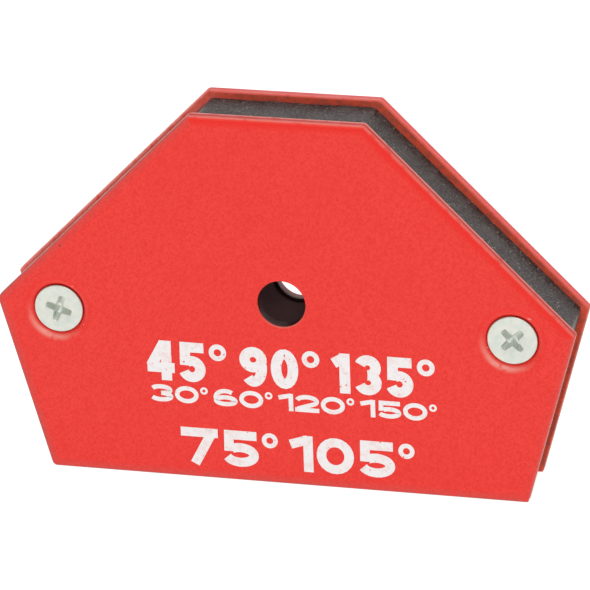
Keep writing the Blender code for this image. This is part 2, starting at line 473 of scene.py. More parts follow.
class Shade:
    """Builds one material's node tree; every pattern is in object coordinates."""

    def __init__(self, name: str) -> None:
        """Starts a material with only its Principled shader."""
        self.material = bpy.data.materials.new(name)
        self.material.use_nodes = True
        self.tree = self.material.node_tree
        self.shader = self.tree.nodes["Principled BSDF"]
        self.place = self.tree.nodes.new("ShaderNodeTexCoord").outputs["Object"]

    def set(self, **values: float | tuple[float, ...]) -> None:
        """Sets unvarying numbers straight on the shader's sockets; _ stands for a space."""
        for name, value in values.items():
            self.shader.inputs[name.replace("_", " ")].default_value = value

    def feed(self, node: bpy.types.Node, socket: str | int, value: object) -> None:
        """Links an output to a socket, or sets the socket to a plain value.

        Args:
            node: the node that has the socket.
            socket: the socket's name or number.
            value: an output, or a plain value.
        """
        if isinstance(value, Socket):
            self.tree.links.new(value, node.inputs[socket])
        else:
            node.inputs[socket].default_value = value

    def noise(
        self, size: float, detail: float = 3.0, rough: float = 0.55,
        stretch: Sequence[float] = (1.0, 1.0, 1.0), turn: float = 0.0,
    ) -> Socket:
        """Noise whose features are about size across.

        Args:
            size: the feature size in metres.
            detail: octaves.
            rough: share of the finer octaves.
            stretch: scale along each axis, under 1 to draw the features out.
            turn: rotation of the pattern about Y.

        Returns:
            The noise value, about 0.5 on average.
        """
        mapping = self.tree.nodes.new("ShaderNodeMapping")
        self.feed(mapping, "Vector", self.place)
        self.feed(mapping, "Scale", stretch)
        self.feed(mapping, "Rotation", (0.0, turn, 0.0))
        texture = self.tree.nodes.new("ShaderNodeTexNoise")
        self.feed(texture, "Vector", mapping.outputs["Vector"])
        self.feed(texture, "Scale", 1.0 / size)
        self.feed(texture, "Detail", detail)
        self.feed(texture, "Roughness", rough)
        return texture.outputs["Fac"]

    def cells(self, size: float) -> Socket:
        """Distance to the nearest of a scatter of points.

        Args:
            size: how far apart the points are, in metres.

        Returns:
            The distance, 0 at a point and up to about 1 between them.
        """
        texture = self.tree.nodes.new("ShaderNodeTexVoronoi")
        self.feed(texture, "Vector", self.place)
        self.feed(texture, "Scale", 1.0 / size)
        return texture.outputs["Distance"]

    def mask(self, name: str) -> Socket:
        """Reads a mask from the mesh.

        Args:
            name: the mask's name.

        Returns:
            Its value.
        """
        attribute = self.tree.nodes.new("ShaderNodeAttribute")
        attribute.attribute_name = name
        return attribute.outputs["Fac"]

    def span(self, value: Socket, low: float, high: float,
             to_low: float = 0.0, to_high: float = 1.0) -> Socket:
        """Maps one range of a value smoothly to another, and clamps it.

        Args:
            value: the value.
            low: where its range starts.
            high: where its range ends.
            to_low: the result at low.
            to_high: the result at high.

        Returns:
            The mapped value.
        """
        node = self.tree.nodes.new("ShaderNodeMapRange")
        node.interpolation_type = "SMOOTHSTEP"
        for socket, number in (("Value", value), ("From Min", low), ("From Max", high),
                               ("To Min", to_low), ("To Max", to_high)):
            self.feed(node, socket, number)
        return node.outputs["Result"]

    def maths(self, operation: str, first: object, second: object) -> Socket:
        """One arithmetic step, clamped to 0..1.

        Args:
            operation: the Math node's name for the step.
            first: a socket or a plain number.
            second: a socket or a plain number.

        Returns:
            The result.
        """
        node = self.tree.nodes.new("ShaderNodeMath")
        node.operation = operation
        node.use_clamp = True
        self.feed(node, 0, first)
        self.feed(node, 1, second)
        return node.outputs["Value"]

    def times(self, first: object, second: object) -> Socket:
        """The product of two values, clamped to 0..1."""
        return self.maths("MULTIPLY", first, second)

    def mix(self, share: object, first: object, second: object) -> Socket:
        """Blends two colours.

        Args:
            share: how much of the second colour there is, 0 to 1.
            first: a socket or a plain (r, g, b).
            second: a socket or a plain (r, g, b).

        Returns:
            The blend.
        """
        node = self.tree.nodes.new("ShaderNodeMix")
        node.data_type = "RGBA"
        self.feed(node, "Factor", share)
        for socket, colour in zip(MIX_COLOURS, (first, second)):
            self.feed(node, socket, (*colour, 1.0) if isinstance(colour, tuple) else colour)
        return node.outputs[MIX_RESULT]

    def bump(self, height: Socket, depth: float, below: Socket | None = None) -> Socket:
        """Surface relief.

        Args:
            height: relief from 0 to 1.
            depth: how deep 1 is, in metres.
            below: relief that this one lies on.

        Returns:
            The bent normal.
        """
        node = self.tree.nodes.new("ShaderNodeBump")
        self.feed(node, "Height", height)
        self.feed(node, "Distance", depth)
        self.feed(node, "Strength", 1.0)
        if below is not None:
            self.feed(node, "Normal", below)
        return node.outputs["Normal"]

    def connect(self, **sockets: Socket) -> bpy.types.Material:
        """Links the varying inputs to the shader.

        Args:
            **sockets: an output for each input; _ stands for a space.

        Returns:
            The finished material.
        """
        for name, value in sockets.items():
            self.tree.links.new(value, self.shader.inputs[name.replace("_", " ")])
        return self.material


class Finish:
    """One finish: the record's slot for it, and the material that shows it."""

    slot: str

    def material(self) -> bpy.types.Material:
        """Makes the finish's material."""
        raise NotImplementedError


@dataclass(frozen=True)
class Enamel(Finish):
    """Red enamel over steel: mottled, worn thin on the arrises and in the holes, with painted highlights
    and painted shade.
    """

    slot: str = "red_paint"
    red: Colour = (0.81, 0.030, 0.017)
    deep_red: Colour = (0.795, 0.027, 0.015)
    # Painted shade: the richer, darker red of rolled edges that reflect less light.
    rolled_shade_red: Colour = (0.78, 0.010, 0.003)
    grain_red: Colour = (0.735, 0.008, 0.002)
    # Painted highlight and worn paint: the pale pink of the arrises and countersink lips.
    highlight_and_worn: Colour = (0.84, 0.29, 0.23)
    # Painted shade: the dark red of the wall's hollow.
    hollow_shading: Colour = (0.42, 0.012, 0.005)
    # Painted shade: the dark brown of edges that face away from the light.
    edge_shade: Colour = (0.22, 0.10, 0.085)
    # Painted shade: the inner face's darker, browner reds.
    inner: Colour = (0.66, 0.085, 0.042)
    shade_brown: Colour = (0.42, 0.080, 0.048)
    thin: Colour = (0.28, 0.10, 0.09)
    # Painted shade: the black that the hole's wall turns with depth.
    hole_shade: Colour = (0.018, 0.010, 0.010)
    pit: Colour = (0.25, 0.01, 0.008)
    speck: Colour = (0.85, 0.20, 0.14)
    scratch: Colour = (0.85, 0.42, 0.38)
    full_gloss: float = 0.5

    def material(self) -> bpy.types.Material:
        """Makes the paint's material."""
        shade = Shade("red_enamel")
        shade.set(Metallic=0.0, IOR=1.45)
        cloudy = shade.span(shade.noise(9 * MM, 3), 0.35, 0.65)
        colour = shade.mix(cloudy, self.red, self.deep_red)
        grain = shade.span(shade.noise(0.34 * MM, 3, 0.65), 0.36, 0.66)
        colour = shade.mix(grain, colour, self.grain_red)
        # Painted shade: a richer, darker red on the rolled edges and the countersink lips.
        rolled = shade.maths("POWER", shade.mask("rolled"), 0.7)
        colour = shade.mix(rolled, colour, self.rolled_shade_red)

        specks = shade.times(shade.span(shade.cells(6 * MM), 0.014, 0.03, 1.0, 0.0),
                             shade.span(shade.noise(11 * MM, 2), 0.5, 0.6))
        colour = shade.mix(shade.times(specks, 0.7), colour, self.speck)
        pits = shade.span(shade.cells(21 * MM), 0.006, 0.012, 1.0, 0.0)
        colour = shade.mix(pits, colour, self.pit)

        lines = shade.span(shade.noise(0.5 * MM, 1, 0.5, (0.06, 1.0, 1.0), math.radians(38)), 0.68, 0.74)
        patches = shade.span(shade.noise(3 * MM, 2), 0.52, 0.60, 0.0, 0.8)
        scratches = shade.times(shade.times(lines, patches), shade.mask("scuff"))
        colour = shade.mix(scratches, colour, self.scratch)

        # Painted shade: the inner face between the plates takes darker, browner reds.
        stained = shade.span(shade.noise(1.1 * MM, 4, 0.65), 0.42, 0.60)
        shaded_lining = shade.mix(stained, self.inner, self.shade_brown)
        colour = shade.mix(shade.times(shade.mask("inside"), 0.95), colour, shaded_lining)
        patchy = shade.span(shade.noise(1.2 * MM, 3), 0.25, 0.6, 0.6, 1.0)
        colour = shade.mix(shade.times(shade.mask("bare"), patchy), colour, self.thin)
        # Painted shade: the hole's wall turns black with depth.
        colour = shade.mix(shade.times(shade.mask("hole_shade"), 0.95), colour, self.hole_shade)
        dull = shade.span(shade.noise(1.3 * MM, 3), 0.3, 0.6, 0.6, 1.0)
        # Painted shade: a dark red in the wall's hollow.
        colour = shade.mix(shade.times(shade.mask("hollow_shading"), dull), colour, self.hollow_shading)
        # Painted shade: darker edges on the sides that face away from the light.
        shaded_amount = shade.times(shade.mask("edge_shade"), dull)
        colour = shade.mix(shaded_amount, colour, self.edge_shade)
        # Painted highlight and worn paint: pale arrises, a pale lower hole arris and pale countersink lips.
        broken = shade.span(shade.noise(1.6 * MM, 4, 0.6), 0.32, 0.50, 0.35, 1.0)
        lit_and_worn = shade.times(shade.mask("wear_and_light"), broken)
        colour = shade.mix(lit_and_worn, colour, self.highlight_and_worn)

        roughness = shade.span(shade.noise(3 * MM, 4), 0.3, 0.7, 0.30, 0.40)
        peel = shade.bump(shade.noise(0.6 * MM, 2, 0.4), 0.008 * MM)
        relief = shade.bump(shade.maths("ADD", specks, scratches), 0.01 * MM, peel)
        gloss = shade.maths("SUBTRACT", self.full_gloss, shade.times(rolled, 0.18))
        for name, loss in (("hole_shade", 0.42), ("hollow_shading", 0.35), ("dull", 0.38)):
            gloss = shade.maths("SUBTRACT", gloss, shade.times(shade.mask(name), loss))
        return shade.connect(
            Base_Color=colour, Roughness=roughness, Specular_IOR_Level=gloss, Normal=relief)


@dataclass(frozen=True)
class Moulding(Finish):
    """Matte black filler with a fine grain, a few pale grains of dust and painted shade in its bore."""

    slot: str = "black_moulding"
    black: Colour = (0.007, 0.006, 0.006)
    grey: Colour = (0.128, 0.120, 0.113)
    dust: Colour = (0.55, 0.53, 0.46)
    # Painted shade with a faint painted red reflection, for the bore.
    bore: Colour = (0.11, 0.06, 0.06)

    def material(self) -> bpy.types.Material:
        """Makes the filler's material."""
        shade = Shade("matte_black_filler")
        shade.set(Metallic=0.0, IOR=1.5)
        grain = shade.noise(0.34 * MM, 4, 0.7)
        colour = shade.mix(shade.span(grain, 0.46, 0.62), self.black, self.grey)
        colour = shade.mix(shade.span(shade.noise(4 * MM, 3), 0.45, 0.7, 0.0, 0.2), colour, self.grey)
        sparse = shade.span(shade.noise(3 * MM, 2), 0.46, 0.56)
        dust = shade.times(shade.span(shade.cells(1.0 * MM), 0.09, 0.15, 1.0, 0.0), sparse)
        colour = shade.mix(shade.times(dust, 0.8), colour, self.dust)
        # Painted shade with a faint painted red reflection: the bore takes one flat dark reddish colour and
        # loses its gloss.
        colour = shade.mix(shade.mask("bore"), colour, self.bore)
        roughness = shade.span(grain, 0.3, 0.7, 0.28, 0.48)
        gloss = shade.span(shade.mask("bore"), 0.0, 1.0, 0.30, 0.0)
        relief = shade.bump(grain, 0.10 * MM, shade.bump(shade.noise(1.8 * MM, 3), 0.12 * MM))
        return shade.connect(
            Base_Color=colour, Roughness=roughness, Specular_IOR_Level=gloss, Normal=relief)


@dataclass(frozen=True)
class ZincPlate(Finish):
    """Pale, faintly green zinc plating, a little dull, with painted light that makes it paler deeper in the
    recess.
    """

    slot: str = "zinc_plate"
    pale: Colour = (0.69, 0.695, 0.62)
    cool: Colour = (0.60, 0.65, 0.59)
    # Painted light: the paler plating deep in the recess.
    hollow_shading: Colour = (0.80, 0.84, 0.79)

    def material(self) -> bpy.types.Material:
        """Makes the plating's material."""
        shade = Shade("zinc_plating")
        shade.set(Metallic=0.75)
        colour = shade.mix(shade.span(shade.noise(1.3 * MM, 4), 0.35, 0.65), self.pale, self.cool)
        # Painted light: the plating is paler deeper in the recess, in patches.
        light_patches = shade.span(shade.noise(0.6 * MM, 3), 0.2, 0.7, 0.3, 0.9)
        colour = shade.mix(shade.times(shade.mask("recess"), light_patches), colour, self.hollow_shading)
        roughness = shade.span(shade.noise(0.5 * MM, 4, 0.6), 0.3, 0.7, 0.34, 0.5)
        relief = shade.bump(shade.noise(0.35 * MM, 3, 0.5), 0.006 * MM)
        return shade.connect(Base_Color=colour, Roughness=roughness, Normal=relief)


@dataclass(frozen=True)
class Ferrite(Finish):
    """Dark grey sintered ferrite with ground faces and a sugary grain."""

    slot: str = "ferrite"
    dark: Colour = (0.035, 0.035, 0.038)
    light: Colour = (0.085, 0.085, 0.09)

    def material(self) -> bpy.types.Material:
        """Makes the ferrite's material."""
        shade = Shade("sintered_ferrite")
        shade.set(Metallic=0.15, IOR=1.8)
        grain = shade.noise(0.2 * MM, 5, 0.7)
        ground = shade.noise(0.3 * MM, 2, 0.5, (0.05, 1.0, 1.0))
        colour = shade.mix(shade.span(grain, 0.35, 0.7), self.dark, self.light)
        roughness = shade.span(ground, 0.3, 0.7, 0.4, 0.62)
        relief = shade.bump(ground, 0.01 * MM, shade.bump(grain, 0.02 * MM))
        return shade.connect(Base_Color=colour, Roughness=roughness, Normal=relief)


@dataclass(frozen=True)
class TurnedSteel(Finish):
    """Plain lathe-turned steel with fine feed marks."""

    slot: str = "turned_steel"
    bright: Colour = (0.56, 0.56, 0.57)
    dull: Colour = (0.40, 0.39, 0.38)

    def material(self) -> bpy.types.Material:
        """Makes the steel's material."""
        shade = Shade("turned_steel")
        shade.set(Metallic=1.0)
        feed = shade.noise(0.12 * MM, 1, 0.4, (0.02, 1.0, 0.02))
        colour = shade.mix(shade.span(shade.noise(1.5 * MM, 3), 0.3, 0.7), self.bright, self.dull)
        roughness = shade.span(feed, 0.3, 0.7, 0.28, 0.45)
        return shade.connect(Base_Color=colour, Roughness=roughness, Normal=shade.bump(feed, 0.008 * MM))


@dataclass(frozen=True)
class Ink(Finish):
    """White screen-print ink, pinholed and scuffed so that the enamel shows through."""

    slot: str = "red_paint"
    white: Colour = (0.82, 0.80, 0.795)
    stained: Colour = (0.80, 0.66, 0.64)
    through: Colour = (0.72, 0.09, 0.07)

    def material(self) -> bpy.types.Material:
        """Makes the ink's material."""
        shade = Shade("white_print")
        shade.set(Metallic=0.0, IOR=1.45)
        colour = shade.mix(shade.span(shade.noise(1.1 * MM, 5, 0.65), 0.45, 0.72), self.white, self.stained)
        pinholes = shade.span(shade.cells(1.6 * MM), 0.07, 0.13, 1.0, 0.0)
        sparse = shade.span(shade.noise(3 * MM, 2), 0.46, 0.54)
        scuffs = shade.span(shade.noise(0.7 * MM, 4, 0.7), 0.61, 0.68)
        gone = shade.maths("ADD", shade.times(pinholes, sparse), shade.times(scuffs, 0.8))
        colour = shade.mix(gone, colour, self.through)
        relief = shade.bump(shade.noise(0.5 * MM, 3), 0.006 * MM)
        roughness = shade.span(shade.noise(1 * MM, 3), 0.3, 0.7, 0.45, 0.6)
        return shade.connect(Base_Color=colour, Roughness=roughness, Normal=relief)


@cache
def material_of(finish: Finish) -> bpy.types.Material:
    """A finish's material, made the first time that a piece takes it."""
    return finish.material()


# --------------------------------------------------------------------- pieces


class Piece:
    """One piece of the holder, which rides on its body and may stand for a CAD node."""

    finish: Finish

    @property
    def node(self) -> str | None:
        """The CAD node that the piece stands for, if there is one."""
        return None

    def build(self) -> bpy.types.Object:
        """Builds the piece's mesh, in place."""
        raise NotImplementedError

    def make(self) -> None:
        """Builds the piece, gives it its finish and mounts it."""
        piece = self.build()
        piece.data.materials.append(material_of(self.finish))
        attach(piece, BODY)
        if self.node:
            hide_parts(self.node)
        faces = len(piece.data.polygons)
        log.info("%s: %d faces, stands for %s", piece.name, faces, self.node or "nothing")


@dataclass(frozen=True)
class Layout:
    """Places that several pieces share, read from the frame.

    Attributes:
        outline: the outline of the plates.
        half: distance from the middle plane to a plate's outer face.
        sheet: a plate's thickness.
        hole: the centre hole's axis, in X and Z.
        screws: the screws' axes, in X and Z.
        head_face: how far a screw's head face lies below the plate's outer face.
    """

    outline: Outline
    half: float
    sheet: float
    hole: Vector
    screws: dict[Side, Vector]
    head_face: float

    @classmethod
    def from_frame(cls) -> "Layout":
        """Reads the holder's sizes from the CAD nodes' boxes.

        Returns:
            The layout.
        """
        low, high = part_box("front_plate")
        rear_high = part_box("rear_plate")[1]
        screws = {}
        for side in Side:
            at_low, at_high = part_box(f"front_screw_{side.name.lower()}")
            screws[side] = Vector(((at_low.x + at_high.x) / 2, (at_low.z + at_high.z) / 2))
        return cls(
            outline=Outline(width=high.x - low.x, height=high.z - low.z),
            half=rear_high.y,
            sheet=high.y - low.y,
            hole=Vector((0.0, HOLE_HEIGHT)),
            screws=screws,
            head_face=rear_high.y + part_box("front_screw_left")[0].y,
        )

    @property
    def inner(self) -> float:
        """Distance from the middle plane to a plate's inner face."""
        return self.half - self.sheet


@dataclass(frozen=True)
class EdgeWearAndLight:
    """Wear, painted highlights and painted shade on each side of a plate, anticlockwise from the bottom.

    Every tuple has a number from 0 to 1 for each side.

    Attributes:
        outer_wear_and_highlight: paleness of the arris at the outer face, from worn paint and a painted
            highlight.
        inner_wear_and_highlight: paleness of the arris at the inner face, from worn paint and a painted
            highlight.
        edge_shade: painted shade on the outer arris, the wall's hollow and the rolled edge.
        rolled_shade: painted shade, how much richer and darker the red is on the rolled edge of the outer
            face.
        waist: depth of the hollow that shearing left along the middle of the wall.
        waist_shade: painted shade in that hollow.
        inner_shade: painted shade, a darker and browner red, on the inner face beside the filler.
        wall_shade_and_dull: painted shade on the wall, in the inner face's darker red, and how free of
            gloss the wall is.
    """

    outer_wear_and_highlight: tuple[float, ...]
    inner_wear_and_highlight: tuple[float, ...]
    edge_shade: tuple[float, ...]
    rolled_shade: tuple[float, ...]
    waist: float
    waist_shade: float
    inner_shade: tuple[float, ...]
    wall_shade_and_dull: tuple[float, ...]


# Wear, painted highlights and painted shade for each side of each plate.
FRONT_WEAR_AND_LIGHT = EdgeWearAndLight(
    outer_wear_and_highlight=(0.0, 0.15, 0.5, 0.6, 0.1, 0.0),
    inner_wear_and_highlight=(0.0, 0.4, 1.0, 0.9, 0.3, 0.0),
    edge_shade=(1.0, 0.35, 0.0, 0.0, 0.8, 1.0),
    rolled_shade=(0.0, 0.0, 1.0, 1.0, 0.0, 0.0),
    waist=0.05 * MM,
    waist_shade=0.95,
    inner_shade=(1.0, 1.0, 1.0, 1.0, 1.0, 1.0),
    wall_shade_and_dull=(0.0, 0.4, 0.0, 0.0, 0.0, 0.4),
)
REAR_WEAR_AND_LIGHT = EdgeWearAndLight(
    outer_wear_and_highlight=(0.2, 0.3, 0.3, 0.3, 0.3, 0.2),
    inner_wear_and_highlight=(0.0, 0.1, 0.3, 0.35, 0.9, 0.6),
    edge_shade=(0.6, 0.45, 0.05, 0.12, 0.3, 0.5),
    rolled_shade=(0.0, 0.3, 0.3, 0.3, 0.3, 0.0),
    waist=0.01 * MM,
    waist_shade=0.0,
    inner_shade=(0.8, 1.0, 1.0, 1.0, 0.0, 0.0),
    wall_shade_and_dull=(0.7, 1.0, 0.0, 0.0, 0.0, 0.0),
)


@dataclass
class PolePlate(Piece):
    """Blanked and enamelled steel plate with a plain hole and two countersinks.

    Attributes:
        hole_bare: how thin the paint is in the centre hole.
        hole_shade_depth: the depth of the hole's wall before its painted shade is fully black.
        hole_highlight: painted highlight on the hole's lower arris.
        lip_radius: where the face starts to round into a countersink.
        lip_highlight: the painted highlight on that rounding where it is brightest.
        lip_shade: painted shade, how much richer and darker the red is at its top.
        highlight_angle: the direction, round a screw, of the brightest painted highlight.
        face_light_spread: how far the inner arris's wear and painted highlight spread onto an inner face
            without painted shade.
        face_shade: how far the painted edge shade spreads onto the rolled edge of the outer face.
    """

    finish = Enamel()
    layout: Layout
    facing: Facing
    wear_and_light: EdgeWearAndLight
    hole_bare: float
    hole_shade_depth: float
    hole_highlight: float = 0.45
    hole_radius: float = 4.0 * MM
    lip_radius: float = 5.9 * MM
    lip_steps: int = 9
    lip_highlight: float = 0.9
    lip_shade: float = 0.3
    lip_slope: float = math.radians(45.0)
    seat_radius: float = 4.42 * MM
    scuff_radius: float = 6.5 * MM
    highlight_angle: float = math.radians(245.0)
    circle_points: int = 96
    nick_depth: float = 0.05 * MM
    nick_spacing: float = 3.0 * MM
    nick_threshold: float = 0.35
    face_light_spread: float = 0.5
    face_shade: float = 0.3

    @property
    def node(self) -> str:
        """The CAD node that the plate stands for."""
        return f"{self.facing.name.lower()}_plate"

    def at(self, point: Vector, depth: float) -> Vector:
        """A point of the plate's plane at a depth below its outer face."""
        return Vector((point.x, self.facing.value * (self.layout.half - depth), point.y))

    def lip(self) -> list[Station]:
        """Steps down a rounded countersink.

        Returns:
            The stations, from the flat outer face to the inner face.
        """
        arc = (self.lip_radius - self.seat_radius) / math.sin(self.lip_slope)
        found = []
        for step in range(self.lip_steps + 1):
            share = step / self.lip_steps
            turn = self.lip_slope * share
            # The painted highlight leans towards the cone and fades softly at both ends.
            hump = max(0.0, math.sin(math.pi * share ** 1.3)) ** 1.5
            # Painted shade: the red is richer and darker near the top of the lip.
            found.append(Station(
                self.lip_radius - arc * math.sin(turn),
                arc * (1.0 - math.cos(turn)),
                outer_arris=self.lip_highlight * hump,
                rolled=self.lip_shade * math.sin(math.pi * min(1.0, 2.0 * share)),
            ))
        cone_depth = self.layout.sheet - found[-1].depth
        found.append(Station(self.seat_radius - cone_depth, self.layout.sheet, inside=1.0))
        return found

    def rim_ring(self, draft: MeshDraft, station: Station) -> Verts:
        """Adds one ring of the outer edge, with its nicks, its wear, and its painted highlights and shade
        on each side.

        Args:
            draft: the plate's mesh.
            station: the ring's place in the edge's cross-section.

        Returns:
            The ring.
        """
        outline = self.layout.outline
        nicked = max(station.outer_arris, station.inner_arris)
        inwards = 1.0 if station.depth < self.layout.sheet / 2 else -1.0
        places = []
        for point in outline.ring(station.offset):
            wobble = noise.noise(Vector((point.x, point.y, self.facing.value)) / self.nick_spacing)
            dent = max(0.0, wobble - self.nick_threshold) * nicked * self.nick_depth
            places.append(self.at(point, station.depth + dent * inwards))
        outer_wear_and_highlight = outline.along(self.wear_and_light.outer_wear_and_highlight)
        inner_wear_and_highlight = outline.along(self.wear_and_light.inner_wear_and_highlight)
        # Painted shade on the inner face, side by side.
        inner_shades = outline.along(self.wear_and_light.inner_shade)
        # Painted shade and lost gloss on the walls of some sides.
        wall_shade_and_dull = outline.along(self.wear_and_light.wall_shade_and_dull)
        wear_and_light = []
        for outer, inner, inner_shade in zip(outer_wear_and_highlight, inner_wear_and_highlight, inner_shades):
            inner_share = station.inner_arris + self.face_light_spread * station.inside * (1.0 - inner_shade)
            wear_and_light.append(station.outer_arris * outer + inner_share * inner)
        # Painted shade on the arris, the wall's hollow and the rolled edge.
        shaded_amount = max(station.outer_arris, station.hollow, self.face_shade * station.rolled)
        return draft.ring(
            places,
            wear_and_light=wear_and_light,
            hollow_shading=self.wear_and_light.waist_shade * station.hollow,
            edge_shade=[own * shaded_amount for own in outline.along(self.wear_and_light.edge_shade)],
            rolled=[own * station.rolled for own in outline.along(self.wear_and_light.rolled_shade)],
            inside=[max(inner_shade * station.inside, own * station.bare) for inner_shade, own in zip(inner_shades, wall_shade_and_dull)],
            dull=[own * station.bare for own in wall_shade_and_dull],
        )

    def hole_rings(self, draft: MeshDraft) -> list[Verts]:
        """Adds the rings of the centre hole.

        Args:
            draft: the plate's mesh.

        Returns:
            The rings, from the outer face to the inner one.
        """
        edge = SheetEdge(self.layout.sheet, roll_width=0.7 * MM, roll_depth=0.04 * MM,
                         outer_radius=0.2 * MM, inner_radius=0.12 * MM, waist=0.02 * MM, bare=1.0)
        rings = []
        # Painted shade: the hole's wall turns black with depth.
        for station in edge.stations():
            loop = circle(self.hole_radius + station.offset, self.circle_points)
            # Painted highlight: the hole's lower arris is paler.
            lower_highlight = self.hole_highlight * station.outer_arris / self.hole_radius
            rings.append(draft.ring(
                [self.at(self.layout.hole + point, station.depth) for point in loop],
                bare=station.bare * self.hole_bare,
                hole_shade=station.bare * min(1.0, station.depth / self.hole_shade_depth),
                wear_and_light=[lower_highlight * max(0.0, -point.y) for point in loop],
                inside=station.inside,
            ))
        return rings

    def seat_rings(self, draft: MeshDraft, centre: Vector) -> list[Verts]:
        """Adds the rings of one countersink, from the edge of the scuffed face round it.

        Args:
            draft: the plate's mesh.
            centre: the screw's axis, in X and Z.

        Returns:
            The rings, from the outer face to the inner one.
        """
        stations = [Station(self.scuff_radius, 0.0), *self.lip()]
        rings = []
        for station in stations:
            loop = circle(station.offset, self.circle_points)
            # Painted highlight: the lip is palest in one direction round the screw.
            turns = [math.atan2(point.y, point.x) - self.highlight_angle for point in loop]
            rings.append(draft.ring(
                [self.at(centre + point, station.depth) for point in loop],
                inside=station.inside,
                scuff=0.0 if station is stations[0] else 1.0,
                wear_and_light=[station.outer_arris * max(0.0, math.cos(turn)) ** 2 for turn in turns],
                rolled=station.rolled,
            ))
        return rings

    def build(self) -> bpy.types.Object:
        """Builds the plate's mesh from its edge, hole and countersinks.

        Returns:
            The plate.
        """
        draft = MeshDraft(("wear_and_light", "hollow_shading", "edge_shade", "bare", "hole_shade", "rolled", "inside", "scuff", "dull"))
        sheared = SheetEdge(self.layout.sheet, waist=self.wear_and_light.waist, bare=1.0)
        rim = [self.rim_ring(draft, station) for station in sheared.stations()]
        cuts = [self.hole_rings(draft)]
        cuts += [self.seat_rings(draft, centre) for centre in self.layout.screws.values()]
        for rings in (rim, *cuts):
            draft.loft(rings)
        draft.fill(rim[0], *(rings[0] for rings in cuts))
        draft.fill(rim[-1], *(rings[-1] for rings in cuts))
        return draft.finish(f"{self.node}_enamelled")


@dataclass
class Filler(Piece):
    """Black moulded block between the plates, with pockets, bores and a rough rim.

    Attributes:
        rim_insets: how far each side lies in from the plates' edge, at its start and end.
        layers: how many bands the rim has through its thickness.
        smooth_depth: how far from a plate the grain fades out.
    """

    finish = Moulding()
    node = "spacer_frame"
    layout: Layout
    bore_radius: float = 4.6 * MM
    sleeve_bore: float = 4.15 * MM
    pocket_gap: float = 0.3 * MM
    pocket_radius: float = 0.6 * MM
    corner_radius: float = 1.0 * MM
    circle_points: int = 72
    rim_insets: tuple[tuple[float, float], ...] = (
        (1.3 * MM, 1.3 * MM),
        (1.35 * MM, 1.2 * MM),
        (0.95 * MM, 1.55 * MM),
        (1.25 * MM, 1.2 * MM),
        (1.4 * MM, 1.3 * MM),
        (1.3 * MM, 1.3 * MM),
    )
    rim_spacing: float = 0.5 * MM
    layers: int = 16
    waviness: float = 0.10 * MM
    wave_size: float = 7.0 * MM
    grain: float = 0.035 * MM
    grain_size: float = 0.8 * MM
    grain_shift: Vector = Vector((5.0, 3.0, 1.0)).freeze()
    smooth_depth: float = 0.4 * MM

    def layer_depths(self) -> list[float]:
        """Places of the rim's rings through the thickness."""
        inner = self.layout.inner
        return [-inner + 2 * inner * step / self.layers for step in range(self.layers + 1)]

    def rough(self, place: Vector, outward: Vector) -> Vector:
        """Moves a rim point in or out; the grain fades out towards the plates.

        Args:
            place: the point.
            outward: the way out of the rim there.

        Returns:
            The moved point.
        """
        wave = noise.noise(place / self.wave_size) * self.waviness
        fine = noise.noise(place / self.grain_size + self.grain_shift) * self.grain
        fade = min(1.0, (self.layout.inner - abs(place.y)) / self.smooth_depth)
        return place + outward * (wave + fine * fade)

    def build(self) -> bpy.types.Object:
        """Builds the block with its bore, sleeve bores and magnet pockets.

        Returns:
            The filler.
        """
        draft = MeshDraft(("bore",))
        loop = self.layout.outline.ring(
            spacing=self.rim_spacing, radius=self.corner_radius, insets=self.rim_insets)
        count = len(loop)
        rim = []
        for y in self.layer_depths():
            places = []
            for index, point in enumerate(loop):
                along = loop[(index + 1) % count] - loop[index - 1]
                outward = Vector((along.y, 0.0, -along.x)).normalized()
                places.append(self.rough(Vector((point.x, y, point.y)), outward))
            rim.append(draft.ring(places))
        draft.loft(rim)
        near, far = [rim[0]], [rim[-1]]
        bores = [(self.layout.hole, self.bore_radius)]
        bores += [(centre, self.sleeve_bore) for centre in self.layout.screws.values()]
        shapes = [
            [centre + point for point in circle(radius, self.circle_points)]
            for centre, radius in bores
        ]
        shapes += [self.pocket(side) for side in Side]
        for index, shape in enumerate(shapes):
            rings = []
            for y in (-self.layout.inner, 0.0, self.layout.inner):
                places = [Vector((point.x, y, point.y)) for point in shape]
                rings.append(draft.ring(places, bore=1.0 if index == 0 else 0.0))
            draft.loft(rings)
            near.append(rings[0])
            far.append(rings[-1])
        draft.fill(*near)
        draft.fill(*far)
        return draft.finish("filler_moulded", sharp_angle=math.radians(40.0))

    def pocket(self, side: Side) -> list[Vector]:
        """Outline of one magnet pocket, a little larger than the block.

        Args:
            side: the half of the holder that it is in.

        Returns:
            Its points, in X and Z.
        """
        low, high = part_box(f"ferrite_magnet_{side.name.lower()}")
        gap = self.pocket_gap
        corners = [
            Vector((low.x - gap, low.z - gap)),
            Vector((high.x + gap, low.z - gap)),
            Vector((high.x + gap, high.z + gap)),
            Vector((low.x - gap, high.z + gap)),
        ]
        return sum(rounded_polygon(corners, [self.pocket_radius] * 4, 4), [])


